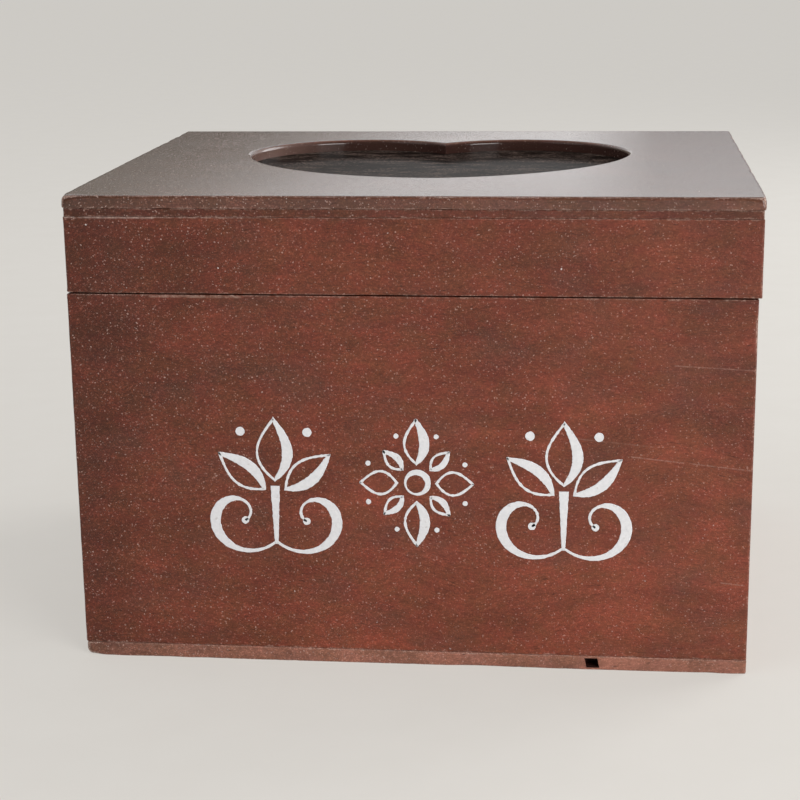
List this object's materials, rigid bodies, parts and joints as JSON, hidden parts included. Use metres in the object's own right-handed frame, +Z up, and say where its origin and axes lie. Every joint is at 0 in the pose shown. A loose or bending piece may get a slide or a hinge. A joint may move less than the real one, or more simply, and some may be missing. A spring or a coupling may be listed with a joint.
{
  "type": "tea bag organizer box",
  "caption": "Hinged wooden box with a divided inside for tea bags and a glazed, heart-shaped window in its lid.",
  "frame": {"origin": "centre of the base board's underside, in the middle of the body's width and depth", "axes": "+X to the right, along the long front, +Y to the back with the hinges, +Z up"},
  "size_m": [0.1611, 0.1393, 0.1135],
  "materials": {
    "stained_wood": "fine grained board, red-brown stain, satin lacquer",
    "lacquered_wood": "red-brown stain under a smoother, glossier lacquer",
    "thin_stained_wood": "thin stained strips and boards, dull",
    "glass": "clear float glass",
    "brass": "thin plated and lacquered brass",
    "brad_steel": "bright wire brads"
  },
  "bodies": {
    "box": {"base_panel": "stained_wood", "front_panel": "stained_wood", "back_panel": "stained_wood", "left_panel": "stained_wood", "right_panel": "stained_wood", "long_divider": "thin_stained_wood", "cross_divider": "thin_stained_wood", "base_brads": "brad_steel", "hinge_left_body_leaf": "brass", "hinge_right_body_leaf": "brass", "hinge_left_pin": "brass", "hinge_right_pin": "brass", "body_hinge_screws": "brass"},
    "lid": {"lid_top_board": "lacquered_wood", "lid_spacer_frame": "stained_wood", "glass_pane": "glass", "bead_front": "thin_stained_wood", "bead_back": "thin_stained_wood", "bead_left": "thin_stained_wood", "bead_right": "thin_stained_wood", "bead_pins": "brad_steel", "lid_front_rail": "stained_wood", "lid_back_rail": "stained_wood", "lid_left_rail": "stained_wood", "lid_right_rail": "stained_wood", "hinge_left_lid_leaf": "brass", "hinge_right_lid_leaf": "brass", "lid_hinge_screws": "brass"}
  },
  "joints": [
    {"name": "lid_hinge", "type": "hinge", "parent": "box", "child": "lid", "pos_m": [0, 0.0696, 0.09045], "axis": [-1, 0, 0], "range_deg": [0, 188]}
  ]
}
